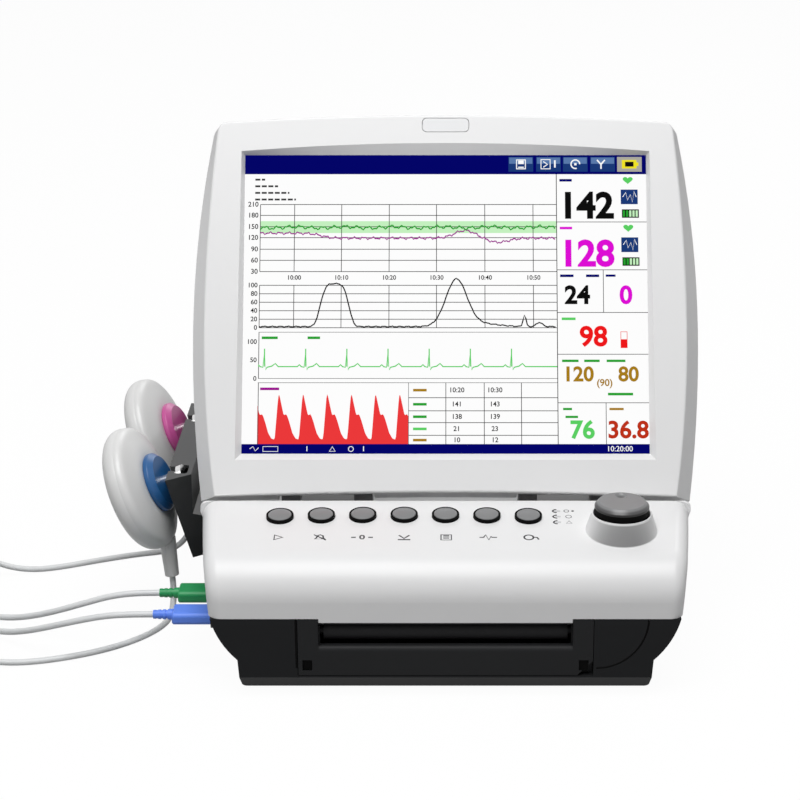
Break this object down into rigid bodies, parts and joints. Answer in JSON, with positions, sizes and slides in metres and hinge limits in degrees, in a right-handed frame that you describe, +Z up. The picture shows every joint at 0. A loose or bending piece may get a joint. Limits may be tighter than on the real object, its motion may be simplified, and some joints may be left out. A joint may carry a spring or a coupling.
{
  "type": "cardiotocograph",
  "caption": "Desktop fetal monitor with a tilting screen over a sloped key panel, a front paper drawer, and a side rack that holds two round transducers on coiled leads.",
  "frame": {"origin": "centre of the four-hole pattern in the underside, on the machine's middle plane", "axes": "-Y to the front, where the user stands; +X to the user's right; +Z up"},
  "size_m": [0.5066, 0.344, 0.3005],
  "materials": {
    "white_shell": "satin white",
    "dark_base": "charcoal, fine grain",
    "dark_trim": "dark grey",
    "grey_rack": "grey, fine grain",
    "key_grey": "satin grey",
    "black_rubber": "matte black",
    "screen": "lit display",
    "lamp": "milky lens",
    "steel": "plain",
    "brass_gear": "cut gear",
    "board": "green circuit board",
    "black_plastic": "black",
    "paper": "folded paper",
    "transducer_white": "satin white",
    "blue": "blue",
    "pink": "magenta",
    "plug_blue": "blue moulding",
    "plug_green": "green moulding",
    "lead": "pale grey sheath"
  },
  "bodies": {
    "base": {"control_panel": "white_shell", "upper_housing": "white_shell", "lower_housing": "dark_base", "rubber_feet": "black_rubber", "housing_screws": "steel", "hinge_brackets": "dark_trim", "hinge_pins": "steel", "key_gasket": "black_rubber", "key_board": "board", "indicator_lenses": "lamp", "encoder_body": "black_plastic", "print_head": "dark_trim", "paper_motor": "steel", "main_board": "board", "power_supply": "steel", "battery_pack": "black_plastic", "speaker": "steel", "power_inlet": "dark_trim", "input_sockets": "dark_trim", "blue_plug": "plug_blue", "green_plug": "plug_green", "transducer_rack": "grey_rack", "blue_plug_lead": "lead", "blue_transducer_lead": "lead", "green_plug_lead": "lead", "green_transducer_lead": "lead", "blue_lead_coil": "lead", "green_lead_coil": "lead"},
    "display": {"display_bezel": "white_shell", "display_back_cover": "white_shell", "alarm_lamp": "lamp", "lcd_panel": "screen", "display_chassis": "dark_trim", "display_board": "board"},
    "key_1": {"key_1": "key_grey"},
    "key_2": {"key_2": "key_grey"},
    "key_3": {"key_3": "key_grey"},
    "key_4": {"key_4": "key_grey"},
    "key_5": {"key_5": "key_grey"},
    "key_6": {"key_6": "key_grey"},
    "key_7": {"key_7": "key_grey"},
    "encoder": {"encoder_shaft": "steel"},
    "knob": {"control_knob": "key_grey", "knob_skirt": "black_rubber"},
    "pinion": {"motor_pinion": "brass_gear"},
    "drawer": {"paper_drawer": "dark_base", "drawer_front": "dark_base", "paper_pack": "paper"},
    "roller": {"platen_roller": "black_rubber", "platen_gear": "brass_gear"},
    "latch_left": {"drawer_latch_left": "dark_trim"},
    "latch_right": {"drawer_latch_right": "dark_trim"},
    "front_transducer": {"front_transducer_body": "transducer_white", "front_transducer_cap": "blue", "front_transducer_button": "black_rubber", "front_transducer_boot": "transducer_white"},
    "rear_transducer": {"rear_transducer_body": "transducer_white", "rear_transducer_cap": "pink", "rear_transducer_button": "black_rubber", "rear_transducer_boot": "transducer_white"}
  },
  "joints": [
    {"name": "display_tilt", "type": "hinge", "parent": "base", "child": "display", "pos_m": [0, -0.0666, 0.0924], "axis": [1, 0, 0], "range_deg": [-62.5, 17.5]},
    {"name": "key_1_press", "type": "slide", "parent": "base", "child": "key_1", "axis": [0, 0.1219, -0.9925], "range_m": [0, 0.0012], "stiffness_N_per_m": 400, "springref_m": -0.001},
    {"name": "key_2_press", "type": "slide", "parent": "base", "child": "key_2", "axis": [0, 0.1219, -0.9925], "range_m": [0, 0.0012], "stiffness_N_per_m": 400, "springref_m": -0.001},
    {"name": "key_3_press", "type": "slide", "parent": "base", "child": "key_3", "axis": [0, 0.1219, -0.9925], "range_m": [0, 0.0012], "stiffness_N_per_m": 400, "springref_m": -0.001},
    {"name": "key_4_press", "type": "slide", "parent": "base", "child": "key_4", "axis": [0, 0.1219, -0.9925], "range_m": [0, 0.0012], "stiffness_N_per_m": 400, "springref_m": -0.001},
    {"name": "key_5_press", "type": "slide", "parent": "base", "child": "key_5", "axis": [0, 0.1219, -0.9925], "range_m": [0, 0.0012], "stiffness_N_per_m": 400, "springref_m": -0.001},
    {"name": "key_6_press", "type": "slide", "parent": "base", "child": "key_6", "axis": [0, 0.1219, -0.9925], "range_m": [0, 0.0012], "stiffness_N_per_m": 400, "springref_m": -0.001},
    {"name": "key_7_press", "type": "slide", "parent": "base", "child": "key_7", "axis": [0, 0.1219, -0.9925], "range_m": [0, 0.0012], "stiffness_N_per_m": 400, "springref_m": -0.001},
    {"name": "knob_push", "type": "slide", "parent": "base", "child": "encoder", "axis": [0, 0, -1], "range_m": [0, 0.0008], "stiffness_N_per_m": 2000, "springref_m": -0.0008},
    {"name": "knob_turn", "type": "hinge", "parent": "encoder", "child": "knob", "pos_m": [0.1026, -0.1275, 0.095], "axis": [0, 0, 1], "continuous": true},
    {"name": "drawer_slide", "type": "slide", "parent": "base", "child": "drawer", "axis": [0, -1, 0], "range_m": [0, 0.12]},
    {"name": "latch_left_press", "type": "slide", "parent": "drawer", "child": "latch_left", "axis": [0, 1, 0], "range_m": [0, 0.002], "stiffness_N_per_m": 500, "springref_m": -0.001},
    {"name": "latch_right_press", "type": "slide", "parent": "drawer", "child": "latch_right", "axis": [0, 1, 0], "range_m": [0, 0.002], "stiffness_N_per_m": 500, "springref_m": -0.001},
    {"name": "roller_turn", "type": "hinge", "parent": "drawer", "child": "roller", "pos_m": [0, -0.162, 0.0366], "axis": [1, 0, 0], "continuous": true},
    {"name": "pinion_turn", "type": "hinge", "parent": "base", "child": "pinion", "pos_m": [0.08, -0.15385, 0.0366], "axis": [1, 0, 0], "continuous": true},
    {"name": "front_transducer_lift", "type": "slide", "parent": "base", "child": "front_transducer", "axis": [-0.24, 0, 0.9708], "range_m": [0, 0.02]},
    {"name": "rear_transducer_lift", "type": "slide", "parent": "base", "child": "rear_transducer", "axis": [-0.24, 0, 0.9708], "range_m": [0, 0.02]}
  ],
  "couplings": [
    {"joint": "pinion_turn", "follows": "roller_turn", "ratio": -1}
  ]
}
